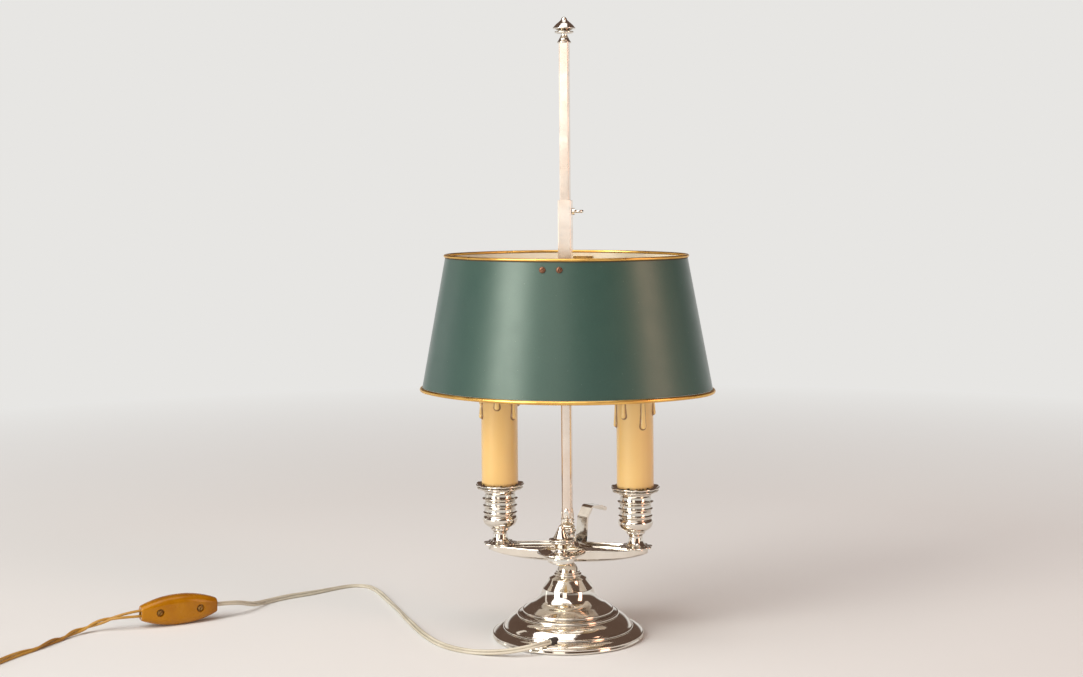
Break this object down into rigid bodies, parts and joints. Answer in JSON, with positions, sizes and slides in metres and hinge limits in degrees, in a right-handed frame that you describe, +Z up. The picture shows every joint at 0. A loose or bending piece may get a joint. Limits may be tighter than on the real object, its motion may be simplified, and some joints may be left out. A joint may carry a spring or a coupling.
{
  "type": "bouillotte lamp",
  "caption": "Silver plated table lamp with twin candle lights on a boat shaped tray, an oval green tole shade that slides on a square rod, and a cord with an in-line switch",
  "frame": {"origin": "centre of the base's felt on the surface that the lamp stands on", "axes": "+Z up along the square rod, +X to the right candle light and along the shade's long axis, -Y towards the front dish and button"},
  "size_m": [0.7267, 0.3729, 0.55],
  "materials": {
    "silver_plate": "polished silver plate on brass, soft wear",
    "gilt_brass": "gilt paint over rolled edge",
    "green_lacquer": "satin green lacquer outside, cream paint inside",
    "brass": "machined brass",
    "copper": "browned slotted screws",
    "steel": "plated steel",
    "cast_iron": "rough cast iron",
    "green_felt": "felt",
    "candle_resin": "honey coloured resin with wax drips",
    "holder_plastic": "black moulded plastic",
    "bulb_glass": "clear glass",
    "ivory_flex": "ivory twin flex",
    "gold_flex": "gold coloured twin flex",
    "amber_resin": "glossy amber moulded resin",
    "dark_resin": "glossy brown moulded resin"
  },
  "bodies": {
    "lamp": {"arm_tray": "silver_plate", "base_nut": "brass", "base_shell": "silver_plate", "base_washer": "steel", "base_weight": "cast_iron", "bottom_plate": "steel", "button_screw": "brass", "cord_coil": "gold_flex", "cord_grommet": "holder_plastic", "cord_lamp_side": "ivory_flex", "cord_plug_lead": "gold_flex", "cord_plug_side": "gold_flex", "cord_tail": "ivory_flex", "felt_pad": "green_felt", "finial": "silver_plate", "finial_collar": "silver_plate", "front_button": "silver_plate", "front_dish": "silver_plate", "lamp_wires": "gold_flex", "left_bulb_cap": "brass", "left_bulb_glass": "bulb_glass", "left_candle_sleeve": "candle_resin", "left_drip_pan": "silver_plate", "left_lampholder": "holder_plastic", "left_locknut": "brass", "left_nipple": "brass", "left_nozzle_cup": "silver_plate", "left_nozzle_foot": "silver_plate", "plug_body": "amber_resin", "plug_pins": "steel", "right_bulb_cap": "brass", "right_bulb_glass": "bulb_glass", "right_candle_sleeve": "candle_resin", "right_drip_pan": "silver_plate", "right_lampholder": "holder_plastic", "right_locknut": "brass", "right_nipple": "brass", "right_nozzle_cup": "silver_plate", "right_nozzle_foot": "silver_plate", "rocker_pin": "steel", "rod_foot": "silver_plate", "square_rod": "silver_plate", "stem_knop": "silver_plate", "switch_back_shell": "amber_resin", "switch_contacts": "brass", "switch_front_shell": "amber_resin", "switch_screws": "steel", "terminal_block": "holder_plastic", "threaded_tube": "brass", "thumb_handle": "silver_plate"},
    "shade_carriage": {"shade_body": "green_lacquer", "shade_top_rim": "gilt_brass", "shade_bottom_rim": "gilt_brass", "shade_spider": "brass", "shade_sleeve": "silver_plate", "shade_screws": "copper", "shade_nuts": "brass"},
    "lock": {"lock_screw": "silver_plate"},
    "rocker": {"switch_rocker": "dark_resin"}
  },
  "joints": [
    {"name": "shade_slide", "type": "slide", "parent": "lamp", "child": "shade_carriage", "axis": [0, 0, 1], "range_m": [-0.2, 0.135]},
    {"name": "lock_screw_turn", "type": "hinge", "parent": "shade_carriage", "child": "lock", "pos_m": [0.0125, 0, 0.377], "axis": [1, 0, 0], "range_deg": [-360, 0]},
    {"name": "switch_rock", "type": "hinge", "parent": "lamp", "child": "rocker", "pos_m": [-0.36371, -0.00541, 0.0135], "axis": [0, 0, 1], "range_deg": [0, 18]}
  ]
}
